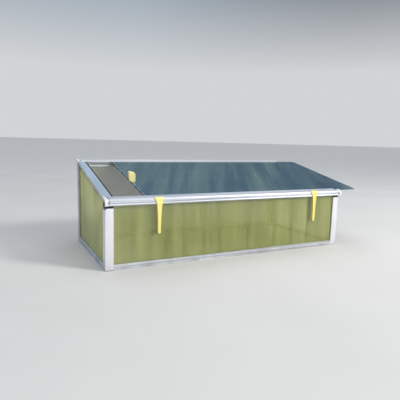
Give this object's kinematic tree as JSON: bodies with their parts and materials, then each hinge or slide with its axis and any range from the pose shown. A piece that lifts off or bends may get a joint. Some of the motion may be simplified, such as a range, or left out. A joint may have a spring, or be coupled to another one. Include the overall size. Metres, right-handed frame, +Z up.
{
  "type": "cold frame",
  "caption": "Low aluminium-framed garden cold frame with twin-wall glazing, a sloping hinged lid with a sideways-sliding pane, and hanging prop arms.",
  "frame": {"origin": "on the ground, at the middle of the underside of the front bottom rail", "axes": "+X along the frame to the right seen from the front, +Y from the front to the back, +Z up"},
  "size_m": [1.665, 0.7238, 0.5089],
  "materials": {
    "frame_aluminium": "satin mill-finish extrusion",
    "trim_plastic": "thin tinted edge channel",
    "bracket_metal": "plain bar",
    "wall_twinwall": "clear twin-wall sheet",
    "pane_twinwall": "glossy twin-wall sheet",
    "yellow_plastic": "moulded",
    "black_plastic": "moulded",
    "end_cap_plastic": "moulded light grey",
    "seal_rubber": "matte",
    "screw_steel": "zinc plated"
  },
  "bodies": {
    "base": {"bracket_screws": "screw_steel", "front_bottom_rail": "frame_aluminium", "front_left_connector": "black_plastic", "front_left_foot": "black_plastic", "front_left_lower_bracket": "bracket_metal", "front_left_post": "frame_aluminium", "front_left_upper_bracket": "bracket_metal", "front_right_connector": "black_plastic", "front_right_foot": "black_plastic", "front_right_lower_bracket": "bracket_metal", "front_right_post": "frame_aluminium", "front_right_upper_bracket": "bracket_metal", "front_sheet": "wall_twinwall", "front_sill_rail": "frame_aluminium", "front_sill_seal": "seal_rubber", "left_bottom_rail": "frame_aluminium", "left_gable_rail": "frame_aluminium", "left_gable_seal": "seal_rubber", "left_sheet": "wall_twinwall", "rear_bottom_rail": "frame_aluminium", "rear_hinge_rail": "frame_aluminium", "rear_left_foot": "black_plastic", "rear_left_lower_bracket": "bracket_metal", "rear_left_post": "frame_aluminium", "rear_left_post_cap": "black_plastic", "rear_left_upper_bracket": "bracket_metal", "rear_right_foot": "black_plastic", "rear_right_lower_bracket": "bracket_metal", "rear_right_post": "frame_aluminium", "rear_right_post_cap": "black_plastic", "rear_right_upper_bracket": "bracket_metal", "rear_sheet": "wall_twinwall", "right_bottom_rail": "frame_aluminium", "right_gable_rail": "frame_aluminium", "right_gable_seal": "seal_rubber", "right_sheet": "wall_twinwall"},
    "lid": {"lid_cap_screws": "screw_steel", "lid_front_left_cap": "end_cap_plastic", "lid_front_left_plate": "bracket_metal", "lid_front_rail": "frame_aluminium", "lid_front_right_cap": "end_cap_plastic", "lid_front_right_plate": "bracket_metal", "lid_left_gasket": "seal_rubber", "lid_left_rail": "frame_aluminium", "lid_plate_screws": "screw_steel", "lid_rear_left_cap": "end_cap_plastic", "lid_rear_left_plate": "bracket_metal", "lid_rear_rail": "frame_aluminium", "lid_rear_right_cap": "end_cap_plastic", "lid_rear_right_plate": "bracket_metal", "lid_right_rail": "frame_aluminium"},
    "pane": {"grip_screws": "screw_steel", "pane_grip": "yellow_plastic", "pane_left_trim": "trim_plastic", "pane_right_trim": "trim_plastic", "pane_sheet": "pane_twinwall"},
    "left_prop": {"left_prop_arm": "yellow_plastic"},
    "right_prop": {"right_prop_arm": "yellow_plastic"}
  },
  "joints": [
    {"name": "lid_hinge", "type": "hinge", "parent": "base", "child": "lid", "pos_m": [0, 0.687, 0.50039], "axis": [-1, 0, 0], "range_deg": [0, 95]},
    {"name": "pane_slide", "type": "slide", "parent": "lid", "child": "pane", "axis": [1, 0, 0], "range_m": [-0.159, 0.54]},
    {"name": "left_prop_hinge", "type": "hinge", "parent": "lid", "child": "left_prop", "pos_m": [-0.478, -0.02, 0.326], "axis": [-1, 0, 0], "range_deg": [-95, 0]},
    {"name": "right_prop_hinge", "type": "hinge", "parent": "lid", "child": "right_prop", "pos_m": [0.535, -0.02, 0.326], "axis": [-1, 0, 0], "range_deg": [-95, 0]}
  ],
  "couplings": [
    {"joint": "left_prop_hinge", "follows": "lid_hinge", "ratio": -1},
    {"joint": "right_prop_hinge", "follows": "lid_hinge", "ratio": -1}
  ]
}
